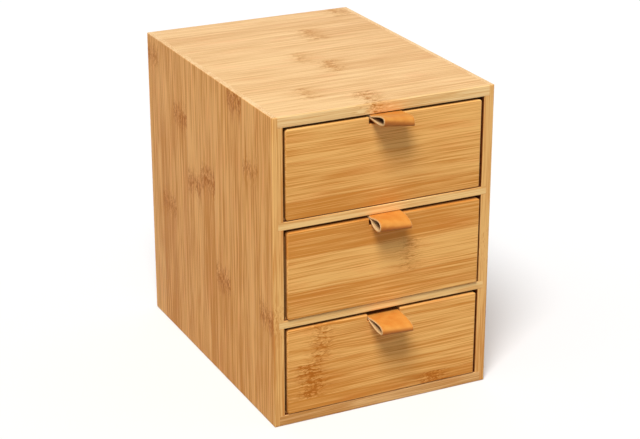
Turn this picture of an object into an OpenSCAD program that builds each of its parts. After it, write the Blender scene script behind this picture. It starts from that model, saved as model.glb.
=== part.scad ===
// Desktop chest with three inset drawers, each opened by a leather loop.
// Millimetres, +Z up, front towards -Y. The origin is the centre of the face that the chest
// stands on. Boards meet in rebates, housings and grooves, as a small glued chest is made.

/* [Case] */
// Width over the side boards
case_w = 130; // [100:1:260]
// Depth from the front edges to the back
case_d = 175; // [120:1:300]
// Height over the top and bottom boards
case_h = 175; // [150:1:320]
// Thickness of the side, top and bottom boards
wall_t = 6; // [5:0.5:12]
// Thickness of the shelves that part the drawers
shelf_t = 4.5; // [3:0.5:9]
// Thickness of the back board
back_t = 3; // [2:0.5:5]
// Depth of the rebates and housings cut in the side boards
joint_depth = 3; // [1.5:0.5:3.5]
// Width of the rebate that holds the back board
back_rebate = 3; // [1.5:0.5:4]
// Rounding of the outside edges
edge_r = 0.8; // [0.3:0.1:1.4]

/* [Drawer boxes] */
// Thickness of a drawer front
front_t = 6; // [5:0.5:10]
// Thickness of the sides and back of a drawer
box_t = 4.5; // [3.5:0.5:7]
// Height that the drawer sides stay below the shelf above
box_drop = 4; // [1:0.5:12]
// Thickness of a drawer bottom
bottom_t = 2.5; // [1.5:0.5:4]
// Height of a drawer bottom above the lower edges of the drawer
bottom_lift = 3.5; // [2:0.5:8]
// Depth of the grooves that hold a drawer bottom
groove_depth = 2; // [1:0.25:2.5]
// Depth of the rebates in a drawer front that take the side boards
front_rebate = 3; // [1.5:0.5:4]
// Depth of the rebates in the drawer sides that take the back
box_rebate = 2.25; // [1:0.25:2.5]
// Rounding of the edges of a drawer front
front_r = 0.9; // [0.3:0.1:1.4]
// Rounding of the corners of a drawer front
corner_r = 1.8; // [0.3:0.1:3]

/* [Drawer fit] */
// Gap beside a drawer, on each side
side_gap = 1.4; // [0.3:0.1:2]
// Gap above a drawer front
top_gap = 1.4; // [0.3:0.1:2]
// Gap below a drawer front
foot_gap = 0.3; // [0.1:0.1:1]
// Distance that the upper drawer stands out at rest
upper_out = 0; // [0:0.1:3]
// Distance that the middle drawer stands out at rest
middle_out = 1.2; // [0:0.1:3]
// Distance that the lower drawer stands out at rest
lower_out = 0.5; // [0:0.1:3]

/* [Leather loops] */
// Width of the leather strap
strap_w = 19; // [10:0.5:30]
// Thickness of the leather
strap_t = 1.2; // [0.8:0.1:1.4]
// Air between the two layers of the folded strap
layer_gap = 0.15; // [0.1:0.05:0.3]
// Length of strap that hangs on the inner face of the front
strap_tail = 13; // [11:0.5:20]
// Gap between the strap and each end of its notch
notch_gap = 0.4; // [0.2:0.1:1.5]
// Depth of the notch in the top edge of a front
notch_depth = 4; // [3.5:0.1:7]

/* [Staples] */
// Width of a staple over its legs
staple_w = 10; // [6:0.5:12]
// Length of a staple's legs
staple_leg = 6; // [4:0.5:7]
// Thickness of the staple wire
staple_wire = 0.7; // [0.5:0.1:1]
// Height of the upper staple's centre below the notch
staple_top = 4; // [2:0.5:5]
// Distance between the two staples
staple_pitch = 5; // [2:0.5:5]

/* [Hidden] */
$fn = 48;
overrun = 1;                    // cutters run this far past the faces that they cut through

// The space inside the case, parted into three equal openings
front_y = -case_d / 2;
inner_w = case_w - 2 * wall_t;
inner_d = case_d - back_t;
open_h = (case_h - 2 * wall_t - 2 * shelf_t) / 3;
lower_floor = wall_t;
middle_floor = lower_floor + open_h + shelf_t;
upper_floor = middle_floor + open_h + shelf_t;

// A drawer fills its opening and stops on the back board
drawer_w = inner_w - 2 * side_gap;
drawer_d = inner_d;
front_h = open_h - foot_gap - top_gap;
box_h = open_h - box_drop;
box_inner_w = drawer_w - 2 * box_t;

// The notch that the strap comes out of
notch_w = strap_w + 2 * notch_gap;
notch_floor = open_h - top_gap - notch_depth;

// Both layers of the strap, measured out from the wood that they lie on
inner_layer = strap_t / 2;
outer_layer = 1.5 * strap_t + layer_gap;
strap_stack = 2 * strap_t + layer_gap;

// How each strap lies: its height in the notch, the angle at which its lower layer leaves
// the notch, its nose as [out, up] from the notch floor at the front face, and the reach of
// the curves from the notch and from the nose, below and above
high = notch_depth + top_gap - strap_stack - 0.35;
low = 0.15;
UPPER_LOOP = [high, 2, [14.7, 4.4], [4.8, 2.8], [2, 4.7]];
MIDDLE_LOOP = [high, 52, [11.2, 1.2], [2.8, 4.4], [2, 5.6]];
LOWER_LOOP = [low, 40, [16, -0.7], [1.5, 5], [2, 5.7]];
bend_r = 1.2;                   // centreline of the bend where a lower layer leaves the notch
bend_step = 15;                 // angle between points on a bend
curve_steps = 10;               // points on each curve to the nose

// ---------- Shapes that the pieces share ----------

// Rectangle with round corners, about its centre
module round_rect(w, h, r) {
    square([w - 2 * r, h], center = true);
    square([w, h - 2 * r], center = true);
    for (sx = [-1, 1], sy = [-1, 1])
        translate([sx * (w / 2 - r), sy * (h / 2 - r)]) circle(r);
}

// Block with eased edges, standing on z = 0 with its front face on y = 0; the corners of that
// face have a rounding of their own
module eased_block(w, d, h, r, face_corner) {
    translate([0, d / 2, 0])
        intersection() {
            linear_extrude(h) round_rect(w, d, r);
            translate([0, d / 2, h / 2])
                rotate([90, 0, 0]) linear_extrude(d) round_rect(w, h, face_corner);
            translate([-w / 2, 0, h / 2])
                rotate([90, 0, 90]) linear_extrude(w) round_rect(d, h, r);
        }
}

// Box centred on x = 0, from y and z upwards
module slab(w, y, d, z, h) {
    translate([-w / 2, y, z]) cube([w, d, h]);
}

// ---------- Case ----------

module case_outline() {
    translate([0, front_y, 0]) eased_block(case_w, case_d, case_h, edge_r, edge_r);
}

// The back board in its rebate; it is also the cutter for that rebate
module back_panel() {
    slab(inner_w + 2 * back_rebate, front_y + inner_d, back_t,
         wall_t - back_rebate, case_h - 2 * (wall_t - back_rebate));
}

module shelf(floor_z) {
    slab(inner_w + 2 * joint_depth, front_y, inner_d, floor_z - shelf_t, shelf_t);
}

// Top or bottom board, in the rebates at the ends of the sides
module cap_board(z) {
    slab(inner_w + 2 * joint_depth, front_y, case_d, z, wall_t);
}

module case_side() {
    intersection() {
        case_outline();
        difference() {
            translate([-case_w / 2, front_y, 0]) cube([wall_t, case_d, case_h]);
            cap_board(0);
            cap_board(case_h - wall_t);
            shelf(middle_floor);
            shelf(upper_floor);
            back_panel();
        }
    }
}

module left_side() color("burlywood") case_side();

module right_side() color("burlywood") mirror([1, 0, 0]) case_side();

module top_board() color("wheat")
    difference() {
        intersection() {
            case_outline();
            cap_board(case_h - wall_t);
        }
        back_panel();
    }

module bottom_board() color("tan")
    difference() {
        intersection() {
            case_outline();
            cap_board(0);
        }
        back_panel();
    }

module upper_shelf() color("tan") shelf(upper_floor);

module lower_shelf() color("tan") shelf(middle_floor);

module back_board() color("bisque") back_panel();

// ---------- Drawer box: front face on y = 0, running on z = 0 ----------

// Board of the bottom, let into the grooves of the four sides
module bottom_panel() {
    slab(box_inner_w + 2 * groove_depth, front_t - groove_depth,
         drawer_d - front_t - box_t + 2 * groove_depth, bottom_lift, bottom_t);
}

module back_wall() {
    slab(box_inner_w + 2 * box_rebate, drawer_d - box_t, box_t, 0, box_h);
}

module side_wall() {
    translate([-drawer_w / 2, front_t - front_rebate, 0])
        cube([box_t, drawer_d - front_t + front_rebate, box_h]);
}

module drawer_side() {
    difference() {
        side_wall();
        back_wall();
        bottom_panel();
    }
}

module drawer_back() {
    difference() {
        back_wall();
        bottom_panel();
    }
}

module drawer_front() {
    difference() {
        translate([0, 0, foot_gap])
            eased_block(drawer_w, front_t, front_h, front_r, corner_r);
        slab(notch_w, -overrun, front_t + 2 * overrun, notch_floor,
             notch_depth + overrun);
        side_wall();
        mirror([1, 0, 0]) side_wall();
        bottom_panel();
        staple_pair();
    }
}

// ---------- Strap: points are [out from the front face, up from the notch floor] ----------

function bezier(a, b, c, d, t) =
    pow(1 - t, 3) * a + 3 * t * pow(1 - t, 2) * b + 3 * t * t * (1 - t) * c + pow(t, 3) * d;

function curve(a, b, c, d) = [for (i = [1 : curve_steps]) bezier(a, b, c, d, i / curve_steps)];

function arc(centre, r, from, to) =
    let (n = ceil(abs(to - from) / bend_step))
    [for (i = [0 : n]) centre + r * [cos(from + (to - from) * i / n),
                                     sin(from + (to - from) * i / n)]];

// Centreline of the strap: up the inside of the front, out through the notch, round the
// nose and back the same way
function strap_line(loop) =
    let (
        lift = loop[0], dip = loop[1], nose = loop[2], under = loop[3], over = loop[4],
        heel = [lift - front_t, 0],
        bend = [0, lift + inner_layer - bend_r],
        leave = bend + bend_r * [sin(dip), cos(dip)],
        enter = [0, lift + outer_layer]
    )
    concat(
        [[-front_t - inner_layer, -strap_tail]],
        arc(heel, lift + inner_layer, 180, 90),
        arc(bend, bend_r, 90, 90 - dip),
        curve(leave, leave + under[0] * [cos(dip), -sin(dip)], nose - [0, under[1]], nose),
        curve(nose, nose + [0, over[1]], enter + [over[0], 0], enter),
        arc(heel, lift + outer_layer, 90, 180),
        [[-front_t - outer_layer, -strap_tail]]
    );

// Unit normal of a line of points, at point i
function normal(line, i) =
    let (d = line[min(i + 1, len(line) - 1)] - line[max(i - 1, 0)])
    [-d[1], d[0]] / norm(d);

module strip(line, t) {
    n = len(line) - 1;
    polygon(concat(
        [for (i = [0 : n]) line[i] + normal(line, i) * t / 2],
        [for (i = [n : -1 : 0]) line[i] - normal(line, i) * t / 2]
    ));
}

module strap(loop) {
    difference() {
        translate([0, 0, notch_floor])
            rotate([90, 0, -90])
                linear_extrude(strap_w, center = true) strip(strap_line(loop), strap_t);
        staple_pair();
    }
}

// ---------- Staples: they hold the strap to the inner face of the front ----------

module staple() {
    crown_y = front_t + strap_stack;
    slab(staple_w, crown_y, staple_wire, -staple_wire / 2, staple_wire);
    for (s = [-1, 1])
        translate([s * (staple_w - staple_wire) / 2, 0, 0])
            slab(staple_wire, crown_y + staple_wire - staple_leg, staple_leg,
                 -staple_wire / 2, staple_wire);
}

module staple_pair() {
    for (row = [0, 1])
        translate([0, 0, notch_floor - staple_top - row * staple_pitch]) staple();
}

// ---------- The three drawers in their openings ----------

module in_opening(floor_z, out) {
    translate([0, front_y - out, floor_z]) children();
}

module in_upper() in_opening(upper_floor, upper_out) children();

module in_middle() in_opening(middle_floor, middle_out) children();

module in_lower() in_opening(lower_floor, lower_out) children();

module upper_front() color("burlywood") in_upper() drawer_front();
module upper_left() color("tan") in_upper() drawer_side();
module upper_right() color("tan") in_upper() mirror([1, 0, 0]) drawer_side();
module upper_back() color("tan") in_upper() drawer_back();
module upper_bottom() color("bisque") in_upper() bottom_panel();
module upper_strap() color("sandybrown") in_upper() strap(UPPER_LOOP);
module upper_staples() color("silver") in_upper() staple_pair();

module middle_front() color("burlywood") in_middle() drawer_front();
module middle_left() color("tan") in_middle() drawer_side();
module middle_right() color("tan") in_middle() mirror([1, 0, 0]) drawer_side();
module middle_back() color("tan") in_middle() drawer_back();
module middle_bottom() color("bisque") in_middle() bottom_panel();
module middle_strap() color("sandybrown") in_middle() strap(MIDDLE_LOOP);
module middle_staples() color("silver") in_middle() staple_pair();

module lower_front() color("burlywood") in_lower() drawer_front();
module lower_left() color("tan") in_lower() drawer_side();
module lower_right() color("tan") in_lower() mirror([1, 0, 0]) drawer_side();
module lower_back() color("tan") in_lower() drawer_back();
module lower_bottom() color("bisque") in_lower() bottom_panel();
module lower_strap() color("sandybrown") in_lower() strap(LOWER_LOOP);
module lower_staples() color("silver") in_lower() staple_pair();

left_side();
right_side();
top_board();
bottom_board();
upper_shelf();
lower_shelf();
back_board();
upper_front();
upper_left();
upper_right();
upper_back();
upper_bottom();
upper_strap();
upper_staples();
middle_front();
middle_left();
middle_right();
middle_back();
middle_bottom();
middle_strap();
middle_staples();
lower_front();
lower_left();
lower_right();
lower_back();
lower_bottom();
lower_strap();
lower_staples();
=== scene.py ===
import math

import bmesh
import bpy
import numpy as np
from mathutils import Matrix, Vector


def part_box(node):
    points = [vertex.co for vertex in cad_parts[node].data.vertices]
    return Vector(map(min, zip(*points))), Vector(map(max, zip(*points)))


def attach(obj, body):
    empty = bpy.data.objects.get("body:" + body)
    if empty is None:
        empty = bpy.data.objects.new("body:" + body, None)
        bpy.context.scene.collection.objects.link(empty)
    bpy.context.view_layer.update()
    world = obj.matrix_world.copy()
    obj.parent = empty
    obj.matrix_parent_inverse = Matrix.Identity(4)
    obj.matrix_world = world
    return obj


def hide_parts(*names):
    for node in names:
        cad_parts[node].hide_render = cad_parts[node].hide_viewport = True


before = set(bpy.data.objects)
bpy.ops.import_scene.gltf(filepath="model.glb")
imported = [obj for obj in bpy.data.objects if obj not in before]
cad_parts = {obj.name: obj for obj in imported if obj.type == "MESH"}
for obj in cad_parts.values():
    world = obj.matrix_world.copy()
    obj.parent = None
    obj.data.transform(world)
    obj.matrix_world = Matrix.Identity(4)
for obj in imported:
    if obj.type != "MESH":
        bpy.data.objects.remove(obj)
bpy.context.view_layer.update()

# ---------------------------------------------------------------------------------------
# Case boards.
# Strip bamboo, 6 mm thick: canes split, planed to strips about 20 mm wide, glued edge to
# edge and sanded. Each strip keeps its own tone and its own knuckle, where the cane had a
# joint. The boards meet in rebates and housings, and every edge that shows is eased.

MM = 0.001


def box_mm(node):
    """Lowest and highest corner of the node's box, in millimetres."""
    return [np.array(corner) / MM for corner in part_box(node)]


case_low = box_mm("left_side")[0]
case_high = box_mm("right_side")[1]
case_w, case_d, case_h = case_high - case_low
front_y = case_low[1]
wall = box_mm("left_side")[1][0] - case_low[0]
inside = case_w / 2 - wall
strip_w = 20
glue_line = 0.24
case_ease = 0.35
hair = 0.06


class Wire:
    """A value in a material. Arithmetic on wires adds Math nodes, so a pattern reads as a sum."""

    def __init__(self, finish, socket):
        self.finish = finish
        self.socket = socket

    def other(self, name):
        """Another output of the node that this wire leaves."""
        return Wire(self.finish, self.socket.node.outputs[name])

    def maths(self, operation, *terms):
        return self.finish.node("Math", {"operation": operation}, dict(enumerate(terms)))

    def __add__(self, term):
        return self.maths("ADD", self, term)

    def __sub__(self, term):
        return self.maths("SUBTRACT", self, term)

    def __rsub__(self, term):
        return self.maths("SUBTRACT", term, self)

    def __mul__(self, term):
        return self.maths("MULTIPLY", self, term)

    def __truediv__(self, term):
        return self.maths("DIVIDE", self, term)

    __radd__ = __add__
    __rmul__ = __mul__

    def size(self):
        return self.maths("ABSOLUTE", self)

    def or_more(self, other):
        """The larger of two wires."""
        return self.maths("MAXIMUM", self, other)

    def hump(self, width):
        """1 where the wire is 0, falling away on both sides as exp(-(x / width)^2)."""
        reach = self / width
        return self.maths("EXPONENT", reach * reach * -1)

    def rise(self, low, high):
        """0 below low, 1 above high, and a smooth step between them."""
        ends = {"Value": self, "From Min": low, "From Max": high}
        return self.finish.node("MapRange", {"interpolation_type": "SMOOTHSTEP"}, ends)


class Finish:
    """A material, or the surround, under construction."""

    def __init__(self, name, kind="materials"):
        self.made = getattr(bpy.data, kind).new(name)
        self.made.use_nodes = True
        self.tree = self.made.node_tree
        self.tree.nodes.clear()

    def node(self, kind, settings=None, sockets=None, out=0):
        """Adds one node: its settings first, then the values or wires of its sockets."""
        made = self.tree.nodes.new("ShaderNode" + kind)
        for name, value in (settings or {}).items():
            if name != "stops":
                setattr(made, name, value)
                continue
            ramp = made.color_ramp.elements
            while len(ramp) < len(value):
                ramp.new(1.0)
            for element, (place, colour) in zip(ramp, value):
                element.position = place
                element.color = colour
        for key, value in (sockets or {}).items():
            if isinstance(value, Wire):
                self.tree.links.new(value.socket, made.inputs[key])
            else:
                made.inputs[key].default_value = value
        return Wire(self, made.outputs[out]) if made.outputs else None

    def place(self):
        """The point on the piece in millimetres, as three wires."""
        at = self.node("TexCoord", out="Object")
        x = self.node("SeparateXYZ", {}, {0: at})
        return x * 1000, x.other("Y") * 1000, x.other("Z") * 1000

    def point(self, x, y, z):
        return self.node("CombineXYZ", {}, {0: x, 1: y, 2: z})

    def noise(self, at, detail=2.0, roughness=0.5):
        """Smooth noise about 0.5, with one bump to each unit of the point."""
        look = {"Vector": at, "Scale": 1.0, "Detail": detail, "Roughness": roughness}
        return self.node("TexNoise", {}, look)

    def blend(self, share, first, second, how="MIX"):
        """Colour from first to second as share goes from 0 to 1."""
        kind = {"data_type": "RGBA", "blend_type": how}
        return self.node("Mix", kind, {0: share, 6: first, 7: second}, out=2)

    def shine(self, colour, roughness, height, depth, constant):
        """The surface itself: colour, roughness, a height in the given depth in metres, and
        what is the same all over."""
        bumps = self.node("Bump", {}, {"Height": height, "Strength": 1.0, "Distance": depth})
        look = {"Base Color": colour, "Roughness": roughness, "Normal": bumps}
        skin = self.node("BsdfPrincipled", {}, {**look, **constant})
        self.node("OutputMaterial", {}, {"Surface": skin})
        return self.made


def rgb(red, green, blue):
    return (red, green, blue, 1.0)


# The two dark browns, specked, of the painted shade on faces that lie in gaps or inside the case.
shade_specks = (rgb(0.23, 0.06, 0.012), rgb(0.105, 0.022, 0.004))


def bamboo(name, lie, length, strips, pale, brown, figure=1.0, fade=0.0, raw=None, edges=()):
    """Strip bamboo. lie turns a place into millimetres along the board, across it and through
    it. A strip is (edge, knuckle, shade before it, shade after it, darkness of the knuckle):
    a shade goes from 0 for the pale colour to 1 for the brown, and the darkness is plain_knot
    where none is given. figure is how strong the grain is. raw(x, y, z) is 1 on faces that
    take painted shade, darker and specked, where they lie in gaps or inside the case. edges
    holds masks of the narrow edges that show, each with its own pale and brown, which are
    painted light, paler for the light that the edges catch, and how much of a knuckle shows
    there. fade is a painted sheen: how much paler the wood gets from left to right, that of
    the edges, or all of it where the board has no edges."""
    wood = Finish(name)
    place = wood.place()
    a, b, c = lie(*place)
    plain_knot = 0.65
    board = strips[-1][0] + 2 * strip_w
    span = 3 * length

    # One ramp holds what differs from strip to strip: where its knuckle is, its shades, and how
    # dark the knuckle is. A knuckle may lie as much as a board's length off either end.
    stops = []
    for edge, knuckle, before, after, *dark in strips:
        tones = ((knuckle + length) / span, before, after, dark[0] if dark else plain_knot)
        stops.append((edge / board, tones))

    def strip_at(b):
        ramp = wood.node("ValToRGB", {"stops": stops}, {0: b / board})
        ramp.socket.node.color_ramp.interpolation = "CONSTANT"
        return wood.node("SeparateColor", {}, {0: ramp}), ramp.other("Alpha")

    # Each strip has grain of its own, because the place of its knuckle shifts the noise. A line
    # of glue is where the strip on one side isn't the strip on the other.
    strip, knots = strip_at(b)
    own = strip * 471
    knuckle = strip * span - length
    one_side = strip_at(b + glue_line / 2)[0]
    other_side = strip_at(b - glue_line / 2)[0]
    glue = (one_side - other_side).size().rise(0.0, 0.001)

    def grain(long, wide, detail=2.0, seed=0.0, b=b):
        """Noise about 0 whose bumps are so many millimetres long and wide."""
        at = wood.point(a / long + own + seed, b / wide, c / wide)
        return wood.noise(at, detail) - 0.5

    # Distance from the knuckle's ragged line, and the fibres, which wander and swing past it.
    drift = wood.noise(wood.point(own, b / 8, c / 8)) - 0.5
    teeth = wood.noise(wood.point(own + 5, b / 1.2, c / 1.2)) - 0.5
    off = a - knuckle + drift * 7 + teeth * 4
    swing = b + grain(90, 13, seed=3) * 2.8 + off.hump(10) * grain(6, 3.5) * 3.4

    # Fibres are long and thin: broad soft bands, streaks, fine lines, hairs that only show
    # close by, and a dark vein here and there.
    bands = grain(170, 6, b=swing)
    streaks = grain(120, 2.1, b=swing)
    lines = grain(85, 0.8, b=swing)
    hairs = grain(32, 0.36, 1.0, b=swing)
    veins = grain(55, 1.1, seed=31, b=swing).rise(0.15, 0.27)
    clouds = grain(34, 14)
    blush = grain(26, 7, seed=17)
    before = strip.other("Green")
    past = off.rise(-3, 3)
    shade = before + (strip.other("Blue") - before) * past
    strength = bands * 0.9 + streaks * 0.7 + lines * 2.2 + hairs * 2.8 + clouds * 0.6
    strength = strength + veins * 0.4
    shade = shade + strength * figure
    # Painted sheen: the wood gets paler from left to right. Painted light: the edges that show
    # take paler colours of their own.
    faded = shade - place[0] * (fade / case_w)
    body = wood.blend(shade if edges else faded, pale, brown)
    for mask, its_pale, its_brown, its_knots in edges:
        at_edge = mask(*place)
        body = wood.blend(at_edge, body, wood.blend(faded, its_pale, its_brown))
        knots = knots * (1 - at_edge * (1 - its_knots))
    body = wood.blend(blush.rise(0.0, 0.25) * 0.6, body, rgb(1.0, 0.9, 0.88), "MULTIPLY")

    # The knuckle: a ragged line in a patch of short dashes and small whorls, and longer soft
    # flames on both sides.
    dashes = grain(3.8, 0.9, b=swing).rise(-0.02, 0.08)
    whorls = grain(3.0, 1.8, seed=5).hump(0.045)
    flames = off.hump(18) * grain(20, 1.3, seed=9, b=swing).rise(-0.02, 0.16)
    marks = off.hump(1.2) * 0.2 + (off - 1).hump(7.5) * (dashes * 0.7 + whorls * 0.55 + 0.06)
    knot = rgb(brown[0] * 0.74, brown[1] * 0.56, brown[2] * 0.25)
    darker = (marks * 1.25 + flames * 0.6) * knots + glue * 0.3
    body = wood.blend(darker.rise(0.0, 1.0), body, knot)

    # Painted shade: faces that lie in gaps or inside the case are darker and specked.
    rough = 0.5 + lines * 0.25 + marks * 0.08
    if raw:
        bare = raw(*place)
        specks = wood.noise(wood.point(a / 2, b / 0.7, c / 0.7)).rise(0.4, 0.7)
        body = wood.blend(bare, body, wood.blend(specks, *shade_specks))
        rough = rough + bare * 0.2
    relief = 0.5 + lines * -0.8 + hairs * -0.6 - marks * 0.3 - glue * 0.3
    return wood.shine(body, rough, relief, 0.00004, {"Specular IOR Level": 0.2})


def put(name, data):
    """A new object in the scene with that data, at the origin."""
    thing = bpy.data.objects.new(name, data)
    bpy.context.scene.collection.objects.link(thing)
    return thing


def eased_copy(name, node, width, free):
    """The node's own board with its edges rounded. Its triangles are merged to flat faces, and
    then an edge is rounded by the width where free(x, y, z) says that its middle shows, and
    by a hair elsewhere, which leaves the fine line of a glued joint."""
    flat, crease = math.radians(0.5), math.radians(40)
    board = bmesh.new()
    board.from_mesh(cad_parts[node].data)
    bmesh.ops.remove_doubles(board, verts=board.verts, dist=0.01 * MM)
    bmesh.ops.dissolve_limit(board, angle_limit=flat, verts=board.verts, edges=board.edges)
    sharp = np.array([edge.calc_face_angle(0) > crease for edge in board.edges])
    mesh = bpy.data.meshes.new(name)
    board.to_mesh(mesh)
    board.free()
    points = np.empty(len(mesh.vertices) * 3)
    mesh.vertices.foreach_get("co", points)
    ends = np.empty(len(mesh.edges) * 2, int)
    mesh.edges.foreach_get("vertices", ends)
    middle = points.reshape(-1, 3)[ends.reshape(-1, 2)].mean(axis=1) / MM
    weight = np.where(free(*middle.T), 1.0, hair / width) * sharp
    mesh.attributes.new("bevel_weight_edge", "FLOAT", "EDGE").data.foreach_set("value", weight)
    mesh.set_sharp_from_angle(angle=crease)
    piece = put(name, mesh)
    ease = piece.modifiers.new("Eased edges", "BEVEL")
    ease.width = width * MM
    ease.segments = 3
    ease.limit_method = "WEIGHT"
    ease.harden_normals = True
    return piece


def fit(piece, node, body, finish):
    """The piece stands for the node, moves with the body and wears the finish."""
    piece.data.materials.clear()
    piece.data.materials.append(finish)
    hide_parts(node)
    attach(piece, body)


def fit_board(node, body, finish, width, free):
    """An eased copy of the node's own board, in its place."""
    fit(eased_copy(node + "_eased", node, width, free), node, body, finish)


def front_arris(x, y, z):
    """Edges of the case's openings, on the plane of the front."""
    return (np.abs(y - front_y) < 0.1) & (np.abs(x) < inside + 0.1)


def hollow(x, y, z):
    """1 on the faces inside the case, which start behind the eased edges of the front. These
    faces take painted shade.
    """
    deep = (y - front_y).rise(0.4, 0.8) * (front_y + case_d - 1 - y).rise(0.0, 1.0)
    high = (z - 1).rise(0.0, 1.0) * (case_h - wall + 0.1 - z).rise(0.0, 0.1)
    return deep * high * (inside + 0.1 - x.size()).rise(0.0, 0.1)


def upright(x, y, z):
    """Grain upright, strips counted from the back: the sides of the case."""
    return z, case_d / 2 - y, x


def crosswise(x, y, z):
    """Grain from left to right, strips counted from the back: the top, bottom and shelves."""
    return x + case_w / 2, case_d / 2 - y, z


def at_front(x, y, z):
    """1 on the narrow front edges of the case's boards, to the middle of their rounding, which
    take paler colours as painted light.
    """
    return (front_y + 0.6 - y).rise(0.0, 0.5)


def at_top(x, y, z):
    """1 on the upper ends of the case's sides, which take paler colours as painted light."""
    return (z - case_h + 0.5).rise(0.0, 0.4)


def side_board(name, strips):
    # Painted light: the upper ends and the front edges take paler colours than the side's face,
    # for the light they catch, and fade 0.2 adds a painted sheen to the edges. The inner face
    # takes painted shade.
    edges = (
        (at_top, rgb(0.93, 0.64, 0.33), rgb(0.77, 0.43, 0.165), 0.0),
        (at_front, rgb(0.89, 0.505, 0.17), rgb(0.69, 0.29, 0.07), 0.0),
    )
    return bamboo(name, upright, case_h, strips, rgb(0.90, 0.46, 0.135), rgb(0.62, 0.225, 0.02),
                  1.95, 0.2, hollow, edges)


left_finish = side_board("left_side_bamboo", [
    (0, 163, 0.42, 0.33, 0.48), (17.4, 78, 1.0, 0.52, 0.56), (38.9, 138, 0.6, 0.27, 0.6),
    (58.9, 103, 0.48, 0.08, 0.64), (77.4, 113, 0.86, 0.37, 0.74), (98, 60, 0.67, 0.04, 0.7),
    (117.4, 170, 0.66, 0.7, 0.8), (136.7, 138, 0.38, 0.03, 0.45), (156.7, 61, 0.5, 0.3, 0.6),
])
right_finish = side_board("right_side_bamboo", [
    (0, 40, 0.4, 0.3, 0.56), (14, 122, 0.6, 0.45, 0.4), (33.5, 18, 0.8, 0.6, 0.64),
    (53, 88, 0.3, 0.4, 0.7), (73, 157, 0.5, 0.4, 0.4), (92, 66, 0.7, 0.35, 0.7),
    (112, 131, 0.3, 0.45, 0.48), (131.5, 30, 0.5, 0.65, 0.7), (151, 84, 0.4, 0.3, 0.48),
])
# The top's front edge takes paler colours of its own as painted light, fade 0.6 adds a painted
# sheen to it, and its underside takes painted shade.
top_finish = bamboo("top_bamboo", crosswise, case_w, [
    (0, 119, 0.33, 0.45, 0.56), (17, -60, 0.65, 0.65, 0.25), (34.6, 83, 0.35, 0.7, 0.46),
    (57.4, 210, 0.38, 0.38, 0.4), (76, 57, 0.28, 0.57, 0.32), (96, 66, 0.32, 0.6, 0.46),
    (117.4, 190, 0.38, 0.38, 0.4), (136.7, 32, 0.22, 0.53, 0.34), (154.6, 58, 0.15, 0.45, 0.64),
], rgb(0.93, 0.61, 0.285), rgb(0.67, 0.34, 0.11), 0.92, 0.6, hollow,
    ((at_front, rgb(0.97, 0.67, 0.31), rgb(0.76, 0.39, 0.12), 0.65),))
# The shelves take painted shade where they lie inside the case.
shelf_finish = bamboo("shelf_bamboo", crosswise, case_w, [
    (0, 30, 0.4, 0.4), (19, 95, 0.5, 0.4), (38, 200, 0.4, 0.4),
    (57, 62, 0.35, 0.5), (76, 111, 0.4, 0.4), (95, 18, 0.4, 0.6),
    (114, -70, 0.4, 0.4), (133, 80, 0.5, 0.4), (152, 170, 0.3, 0.3),
], rgb(0.96, 0.62, 0.25), rgb(0.76, 0.38, 0.11), raw=hollow)
# The bottom takes painted shade inside the case, and fade 0.4 a painted sheen that grows to the
# right.
bottom_board_finish = bamboo("bottom_board_bamboo", crosswise, case_w, [
    (0, 95, 0.4, 0.5), (22, 18, 0.5, 0.4), (41, 71, 0.4, 0.3),
    (60, 122, 0.5, 0.4), (80, 44, 0.35, 0.5), (99, 190, 0.4, 0.4),
    (118, 101, 0.5, 0.4), (138, 27, 0.4, 0.5), (156, 200, 0.55, 0.55),
], rgb(0.86, 0.50, 0.20), rgb(0.58, 0.25, 0.06), fade=0.4, raw=hollow)

for node, finish in (
    ("left_side", left_finish),
    ("right_side", right_finish),
    ("top_board", top_finish),
    ("bottom_board", bottom_board_finish),
    ("upper_shelf", shelf_finish),
    ("lower_shelf", shelf_finish),
):
    fit_board(node, "case", finish, case_ease, front_arris)

# ---------------------------------------------------------------------------------------
# Back board and drawer bottoms.
# Thin bamboo board, 2.5 to 3 mm, sanded and left plain. The back is glued into a rebate,
# flush with the case; the bottoms sit in grooves.

thin_ease = 0.35
thin_pale = rgb(0.86, 0.54, 0.23)
thin_brown = rgb(0.72, 0.36, 0.11)


def up_the_back(x, y, z):
    """Grain upright, strips counted from the left."""
    return z, x + case_w / 2, y


def front_to_back(x, y, z):
    """Grain from front to back, strips counted from the left."""
    return y + case_d / 2, x + case_w / 2, z


back_finish = bamboo("back_bamboo", up_the_back, case_h, [
    (0, 40, 0.4, 0.3, 0.28), (23, 128, 0.6, 0.5, 0.44), (43, 66, 0.3, 0.4, 0.24),
    (64, 155, 0.4, 0.6, 0.4), (84, 25, 0.5, 0.35, 0.48), (105, 101, 0.35, 0.5, 0.28),
], thin_pale, thin_brown)
bottom_finish = bamboo("bottom_bamboo", front_to_back, case_d, [
    (0, 60, 0.4, 0.4, 0.32), (27, 131, 0.5, 0.35, 0.28), (46, 22, 0.3, 0.45, 0.4),
    (66, 93, 0.4, 0.55, 0.4), (86, 160, 0.5, 0.35, 0.28), (106, 48, 0.35, 0.45, 0.32),
], thin_pale, thin_brown)


def nowhere(x, y, z):
    """No edge of a thin board is rounded by more than a hair."""
    return np.zeros(len(x), bool)


fit_board("back_board", "case", back_finish, thin_ease, nowhere)

# ---------------------------------------------------------------------------------------
# Drawer boxes.
# An inset front with rounded edges and a notch at the middle of its top edge; the sides
# and back are thinner strip bamboo, a little lower than the front, glued in rebates.

drawers = ("upper", "middle", "lower")
notch_ease = 0.4
box_ease = 0.5


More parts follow.
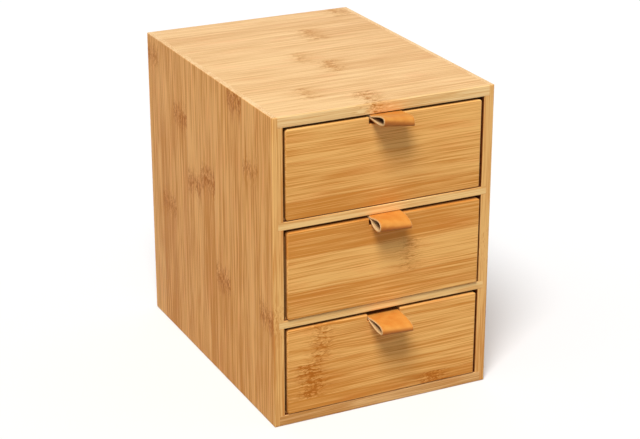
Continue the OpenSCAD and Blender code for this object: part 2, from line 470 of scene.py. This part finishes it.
def front_bamboo(drawer, strips):
    """Grain from left to right, strips counted from the top edge of that drawer's front. Its
    rim and the notch, behind the rounding of the front face, take painted shade, darker and
    specked, and the wood gets paler to the right as a painted sheen."""
    low, high = box_mm(drawer + "_front")

    def rim(x, y, z):
        return (y - low[1]).rise(0.7, 1.3) * (high[1] - y).rise(0.1, 0.4) * 0.7

    def lie(x, y, z):
        return x - low[0], high[2] - z, y

    pale, brown = rgb(0.95, 0.52, 0.158), rgb(0.67, 0.255, 0.04)
    return bamboo(drawer + "_front_bamboo", lie, high[0] - low[0], strips, pale, brown,
                  0.9, 0.34, rim)


front_finish = {
    "upper": front_bamboo("upper", [
        (0, 230, 0.25, 0.25), (19, -90, 0.37, 0.37), (39.5, 190, 0.8, 0.8),
    ]),
    "middle": front_bamboo("middle", [
        (0, 230, 0.93, 0.93), (14.5, 71, 0.1, 0.28, 0.32), (34.0, -90, 0.65, 0.65),
    ]),
    "lower": front_bamboo("lower", [
        (0, 18.6, 0.35, 0.5, 0.5), (22, 13.6, 0.38, 0.62, 0.88), (42.5, 89, 0.83, 1.0, 1.0),
    ]),
}


def along_side(x, y, z):
    """Grain from front to back, strips counted upwards."""
    return y + case_d / 2, z, x


def along_rear(x, y, z):
    """Grain from left to right, strips counted upwards."""
    return x + case_w / 2, z, y


# Strips 19.5 mm wide all the way up, so that one row serves all three drawers.
box_pale = rgb(0.85, 0.50, 0.19)
box_brown = rgb(0.70, 0.31, 0.08)
box_strips = [(0, 36, 0.4, 0.4)]
for row in range(9):
    box_strips.append((8 + 19.5 * row, (47 * row + 60) % 170, 0.3 + 0.12 * (row % 3), 0.4))
side_finish = bamboo(
    "drawer_side_bamboo", along_side, case_d, box_strips, box_pale, box_brown
)
rear_finish = bamboo(
    "drawer_back_bamboo", along_rear, case_w, box_strips, box_pale, box_brown
)

for drawer in drawers:
    body = drawer + "_drawer"
    front_rim = box_mm(drawer + "_front")[1][2]
    box_rim = box_mm(drawer + "_left")[1][2]

    def notch_arris(x, y, z):
        """Edges of the notch: on the faces of the front, away from its ends."""
        return (np.abs(x) < 10.5) & (z > front_rim - 5)

    def rim_arris(x, y, z):
        """Upper edges of the drawer box."""
        return np.abs(z - box_rim) < 0.1

    finish = front_finish[drawer]
    fit_board(drawer + "_front", body, finish, notch_ease, notch_arris)
    fit_board(drawer + "_left", body, side_finish, box_ease, rim_arris)
    fit_board(drawer + "_right", body, side_finish, box_ease, rim_arris)
    fit_board(drawer + "_back", body, rear_finish, box_ease, rim_arris)
    fit_board(drawer + "_bottom", body, bottom_finish, thin_ease, nowhere)

# ---------------------------------------------------------------------------------------
# Leather loops.
# A strap of smooth orange tan leather, 19 mm wide and 1.2 mm thick, folded in two, both
# ends passed back through the notch and down the inner face of the front. Its cut edges
# and its flesh side are paler than its finished face, but inside the loop the flesh side
# is painted dark as shade, paler only towards the cut edges as painted light.

strap_w = 19.0
strap_t = 1.2
cut_edge_r = 0.3
layer_gap = 0.15
tail = 13.0
bend_r = 1.2
fold_at = -0.6
fold_reach = 1.3
inner_layer = strap_t / 2
outer_layer = 1.5 * strap_t + layer_gap
notch_depth = 4.0
front_low, front_high = box_mm("upper_front")
front_t = front_high[1] - front_low[1]
top_gap = box_mm("top_board")[0][2] - front_high[2]
slack = 0.35
high_lift = notch_depth + top_gap - 2 * strap_t - layer_gap - slack
low_lift = 0.15

# Slack is what is left between the strap and the board above it.
# Left-hand and right-hand edge of each loop: lift in the notch, dip of the lower layer, nose
# [out, up], and the reaches of the curves to the nose below and above. The nose hangs lower on
# the right, because the strap is folded a little askew.
loops = {
    "upper": (
        (high_lift, 2, (15.6, 6.0), (4.7, 5.0), (2, 4.3)),
        (high_lift - 0.4, 2, (13.3, 1.5), (5.2, 2.2), (8.5, 5.4)),
    ),
    "middle": (
        (high_lift, 62, (11.8, 2.7), (4.3, 4.4), (2, 5.4)),
        (high_lift, 42, (11.3, 0.4), (3.0, 2.1), (5.0, 2.4)),
    ),
    "lower": (
        (low_lift, 40, (16.0, -0.1), (1.5, 4.6), (2, 4.9)),
        (low_lift, 40, (15.9, -1.6), (4.5, 2.4), (6.0, 2.6)),
    ),
}


def cubic(a, b, c, d):
    """Bezier curve: the four points weighted by (1-t)^3, 3t(1-t)^2, 3t^2(1-t) and t^3."""
    t = np.linspace(0, 1, 48)[:, None]
    a, b, c, d = (np.asarray(p, float) for p in (a, b, c, d))
    return (1 - t) ** 3 * a + 3 * t * (1 - t) ** 2 * b + 3 * t * t * (1 - t) * c + t ** 3 * d


def bend(centre, radius, start, end, count=24):
    """Arc: the centre plus the radius times (cos, sin), from one angle to another in degrees."""
    turn = np.radians(np.linspace(start, end, count))[:, None]
    return np.asarray(centre) + radius * np.hstack([np.cos(turn), np.sin(turn)])


def even(line):
    """The same line as 300 points an even step apart along it, and how far along they are."""
    length = np.r_[0, np.cumsum(np.hypot(*np.diff(line, axis=0).T))]
    keep = np.r_[True, np.diff(length) > 1e-6]
    at = np.linspace(0, length[-1], 300)
    return np.stack([np.interp(at, length[keep], line[keep, i]) for i in (0, 1)], axis=1), at


def across_line(line):
    """Unit normal of a line of points, on its left: its slope turned by a quarter."""
    slope = np.gradient(line, axis=0)
    slope /= np.linalg.norm(slope, axis=1, keepdims=True)
    return np.stack([-slope[:, 1], slope[:, 0]], axis=1)


def strap_line(lift, dip, nose, under, over):
    """Centreline [out, up] from the notch floor at the front face: up the inside, a quarter
    turn over the front, an arc down by the dip, one Bezier curve to the nose and one back from
    it, and a quarter turn down the inside."""
    heel = (lift - front_t, 0)
    turn = np.radians(dip)
    knee = np.array([0, lift + inner_layer - bend_r])
    leave = knee + bend_r * np.array([np.sin(turn), np.cos(turn)])
    away = leave + under[0] * np.array([np.cos(turn), -np.sin(turn)])
    enter = np.array([0, lift + outer_layer])
    nose = np.array(nose)
    return np.vstack([
        [[-front_t - inner_layer, -tail]],
        bend(heel, lift + inner_layer, 180, 90),
        bend(knee, bend_r, 90, 90 - dip),
        cubic(leave, away, nose - [0, under[1]], nose),
        cubic(nose, nose + [0, over[1]], enter + [over[0], 0], enter),
        bend(heel, lift + outer_layer, 90, 180),
        [[-front_t - outer_layer, -tail]],
    ])


def strap_section():
    """Section of the strap, anticlockwise [across, through]: a rectangle with a quarter of a
    circle at each corner. The third column is 1 on the cut edges."""
    wide, round_over = 30, 6
    half_w, half_t = strap_w / 2, strap_t / 2
    flat = np.linspace(-half_w + cut_edge_r, half_w - cut_edge_r, wide)
    turn = np.linspace(-np.pi / 2, 0, round_over)
    corner = np.stack([np.cos(turn), np.sin(turn)], axis=1) * cut_edge_r
    lower = np.stack([flat, np.full(wide, -half_t), np.zeros(wide)], axis=1)
    corner = corner + [half_w - cut_edge_r, cut_edge_r - half_t]
    half = np.vstack([lower, np.column_stack([corner, np.ones(round_over)])[1:]])
    return np.vstack([half, half * [-1, -1, 1]])


def tube_faces(rows, columns):
    """Faces over a closed section carried along a line, one row of points for each place on the
    line: a quad between each four neighbours, and a cap at each end. They face outwards."""
    index = np.arange(rows * columns).reshape(rows, columns)
    ahead = np.roll(index, -1, axis=1)
    quads = np.stack([index[:-1], ahead[:-1], ahead[1:], index[1:]], axis=2).reshape(-1, 4)
    return quads.tolist() + [index[0][::-1].tolist(), index[-1].tolist()]


def strap_mesh(name, origin, left, right):
    """The section carried along the centreline, which goes over from the left-hand one to the
    right-hand one with the distance across the strap: (1 - share) of one and share of the
    other. The fold, a band of painted shade under the nose, is exp(-((s - fold_at) /
    fold_reach)^4), where s is how far past the nose a point is along the strap."""
    line_left, along = even(strap_line(*left))
    line_right = even(strap_line(*right))[0]
    normal_left, normal_right = across_line(line_left), across_line(line_right)
    across, through, cut = strap_section().T
    share = (across / strap_w + 0.5)[None, :, None]
    line = line_left[:, None] * (1 - share) + line_right[:, None] * share
    normal = normal_left[:, None] * (1 - share) + normal_right[:, None] * share
    out, up = np.moveaxis(line + normal * through[None, :, None], 2, 0)
    points = np.stack([np.broadcast_to(across, out.shape), -out, up], axis=2)
    points = (points.reshape(-1, 3) + origin) * MM
    from_nose = along[:, None] - along[np.argmax(out, axis=0)]
    fold = np.exp(-((from_nose - fold_at) / fold_reach) ** 4)
    mesh = bpy.data.meshes.new(name)
    mesh.from_pydata(points, [], tube_faces(*out.shape))
    mesh.update()
    mesh.shade_smooth()
    for label, values in (
        ("cut", np.broadcast_to(cut, out.shape)),
        ("flesh", np.broadcast_to(through > 0, out.shape)),
        ("fold", fold),
        ("over", from_nose > 0),
        ("run", np.broadcast_to(along[:, None], out.shape)),
        ("width", np.broadcast_to(across, out.shape)),
    ):
        layer = mesh.attributes.new(label, "FLOAT", "POINT")
        layer.data.foreach_set("value", values.astype(np.float32).ravel())
    return put(name, mesh)


def leather():
    """Smooth tan leather: pores and soft creases on the face, pale cut edges, and painted shade
    under the fold, on the face inside the notch and on the flesh side, which is paler towards
    the cut edges as painted light."""
    hide = Finish("orange_tan_leather")

    def told(label):
        return hide.node("Attribute", {"attribute_name": label}, {}, out="Fac")

    run = told("run")
    width = told("width")
    cut = told("cut")
    flesh = told("flesh")
    x, y, z = hide.place()
    on_face = hide.point(run, width, flesh * 5)
    pores = hide.node("TexVoronoi", {"feature": "SMOOTH_F1"}, {"Vector": on_face, "Scale": 2.6})
    grain = hide.noise(hide.point(run * 3.2, width * 3.2, flesh), 3.0, 0.6)
    cloud = hide.noise(hide.point(run * 0.22, width * 0.22, flesh), 3.0, 0.55)
    crease = hide.noise(hide.point(run * 1.1, width * 0.16, 3.0), 2.0, 0.6).rise(0.56, 0.75)
    face = hide.blend(cloud.rise(0.3, 0.72), rgb(0.71, 0.25, 0.035), rgb(0.77, 0.325, 0.057))
    face = hide.blend(crease * 0.25 + grain.rise(0.5, 0.8) * 0.2, face, rgb(0.62, 0.17, 0.02))
    # Painted shade on the face where the strap lies inside the notch.
    notch_shade = (y - front_y - 0.5).rise(0.0, 1.5) * (front_y + front_t - y).rise(0.0, 2.0)
    face = hide.blend(notch_shade * 0.8, face, rgb(0.16, 0.035, 0.008))
    felt = hide.noise(hide.point(x * 3, y * 3, z * 3), 4.0, 0.7)
    raw = hide.blend(felt.rise(0.35, 0.68), rgb(0.64, 0.37, 0.15), rgb(0.93, 0.65, 0.33))
    # Painted shade: the flesh side inside the loop is dark brown.
    flesh_shade = hide.blend(felt.rise(0.35, 0.68), rgb(0.12, 0.02, 0.005), rgb(0.25, 0.07, 0.018))
    # Painted light: the flesh is paler towards the cut edges, where light reaches in: 4.5 mm in
    # under the nose, 1.5 mm over it.
    reach = 4.5 - told("over") * 3.0
    pale = (width.size() - strap_w / 2 + reach) / reach
    flesh_shade = hide.blend(pale.rise(0.0, 0.7), flesh_shade, raw)
    # Painted shade: a darker band under the nose of the fold.
    colour = hide.blend(told("fold") * 0.7, face, rgb(0.44, 0.11, 0.015))
    colour = hide.blend(flesh, colour, flesh_shade)
    colour = hide.blend(cut.rise(0.25, 0.75), colour, raw)
    bare = cut.or_more(flesh)
    rough = 0.5 + grain * 0.12 + bare * 0.3
    relief = pores * 0.5 + grain * 0.35 - crease * 0.5 + bare * felt * 1.2
    return hide.shine(colour, rough, relief, 0.00009, {"Specular IOR Level": 0.25})


tan = leather()
notch_floor = {}
for drawer in drawers:
    low, high = box_mm(drawer + "_front")
    notch_floor[drawer] = high[2] - notch_depth
    origin = np.array([0, low[1], notch_floor[drawer]])
    strap = strap_mesh(drawer + "_strap_leather", origin, *loops[drawer])
    fit(strap, drawer + "_strap", drawer + "_drawer", tan)

# ---------------------------------------------------------------------------------------
# Staples.
# Two plain steel wire staples hold both ends of each strap to the inner face of the front.
# Their legs go through the leather into the wood, one staple above the other.

wire_t = 0.7
shoulder_r = 0.45
staple_w = 10.0
staple_leg = 6.0
staple_top = 4.0
staple_pitch = 5.0


def staple_steel():
    """Drawn steel wire: fine lines along it and a dull grey."""
    steel = Finish("staple_wire_steel")
    x, y, z = steel.place()
    drawn = steel.noise(steel.point(x * 0.5, y * 9, z * 9), 2.0, 0.6)
    grey = steel.blend(drawn.rise(0.3, 0.7), rgb(0.42, 0.42, 0.43), rgb(0.66, 0.66, 0.67))
    return steel.shine(grey, 0.28 + drawn * 0.2, drawn, 0.00001, {"Metallic": 1.0})


def staple_mesh(origin):
    """A wire carried along a U with rounded shoulders. Its section is a circle flattened on
    four sides: at the angle t, half the wire's thickness times (cos t^4 + sin t^4)^(-1/4)."""
    half = (staple_w - wire_t) / 2
    crown_y = wire_t / 2
    tip_y = wire_t - staple_leg
    corner = bend((half - shoulder_r, crown_y - shoulder_r), shoulder_r, 90, 0, 8)
    side = np.vstack([[[0, crown_y]], corner, [[half, tip_y]]])
    path = np.vstack([side[::-1], side[1:] * [-1, 1]])
    normal = across_line(path)
    turn = np.linspace(0, 2 * np.pi, 16, endpoint=False)
    squarish = (np.abs(np.cos(turn)) ** 4 + np.abs(np.sin(turn)) ** 4) ** -0.25
    reach = np.cos(turn) * squarish * wire_t / 2
    rise = np.sin(turn) * squarish * wire_t / 2
    x = path[:, 0:1] + normal[:, 0:1] * reach
    y = path[:, 1:2] + normal[:, 1:2] * reach
    z = np.broadcast_to(rise, x.shape)
    points = (np.stack([x, y, z], axis=2).reshape(-1, 3) + origin) * MM
    return points, tube_faces(*x.shape)


steel = staple_steel()
for drawer in drawers:
    node = drawer + "_staples"
    front_face = box_mm(drawer + "_front")[0][1]
    behind_strap = front_face + front_t + 2 * strap_t + layer_gap
    points = []
    faces = []
    for row in (0, 1):
        z = notch_floor[drawer] - staple_top - row * staple_pitch
        wire_points, wire_faces = staple_mesh(np.array([0, behind_strap, z]))
        faces += [[i + row * len(wire_points) for i in face] for face in wire_faces]
        points.append(wire_points)
    mesh = bpy.data.meshes.new(node + "_wire")
    mesh.from_pydata(np.vstack(points), [], faces)
    mesh.shade_smooth()
    fit(put(node + "_wire", mesh), node, drawer + "_drawer", steel)

# ---------------------------------------------------------------------------------------
# Ground, light and camera.
# A plain white ground that keeps the chest's shadow, one soft light from the upper left in
# front, and a surround that lights mostly from its horizon and looks white all over.

ground_half = 6.0
horizon_light = 0.95
key_light = 0.9
key_towards = Vector((-0.325, -0.45, 0.832))
key_spread = math.radians(24)
eye_place = (-0.4178, -0.8659, 0.4622)
turn_right = math.radians(26.0)
look_down = math.radians(21.8)


def in_view(finish):
    """1 where the camera or a reflection sees the surface, 0 where it only lights others."""
    camera = finish.node("LightPath", {}, {}, out="Is Camera Ray")
    mirror = camera.or_more(camera.other("Is Glossy Ray"))
    return mirror.or_more(camera.other("Is Transmission Ray"))


ground = Finish("white_ground")
cover = ground.blend(in_view(ground), rgb(0.2, 0.2, 0.2), rgb(0.97, 0.97, 0.97))
ground.node("OutputMaterial", {}, {"Surface": ground.node("BsdfDiffuse", {}, {"Color": cover})})
mesh = bpy.data.meshes.new("ground")
mesh.from_pydata([
    (x * ground_half, y * ground_half, 0) for x, y in ((-1, -1), (1, -1), (1, 1), (-1, 1))
], [], [(0, 1, 2, 3)])
mesh.materials.append(ground.made)
floor = put("ground", mesh)

surround = Finish("surround", "worlds")
up = surround.node("SeparateXYZ", {}, {0: surround.node("TexCoord", out="Generated")}).other("Z")
walls = (1 - up) * horizon_light
seen = in_view(surround)
white = {"Color": rgb(1.0, 1.0, 1.0), "Strength": seen + (1 - seen) * walls}
surround.node("OutputWorld", {}, {"Surface": surround.node("Background", {}, white)})
bpy.context.scene.world = surround.made

# key_light is the brightness that the lamp gives a white card turned to face it.
lamp = bpy.data.lights.new("key", "SUN")
lamp.energy = key_light * math.pi
lamp.angle = key_spread
put("key", lamp).rotation_euler = (-key_towards).to_track_quat("-Z", "Y").to_euler()

eye = bpy.data.cameras.new("eye")
eye.sensor_fit = "HORIZONTAL"
eye.sensor_width = 36.0
eye.lens = 101.1
eye.clip_start = 0.01
gaze = Vector((
    math.sin(turn_right) * math.cos(look_down),
    math.cos(turn_right) * math.cos(look_down),
    -math.sin(look_down),
))
camera = put("eye", eye)
camera.location = eye_place
camera.rotation_euler = gaze.to_track_quat("-Z", "Y").to_euler()
bpy.context.scene.camera = camera
bpy.context.scene.view_settings.view_transform = "Standard"
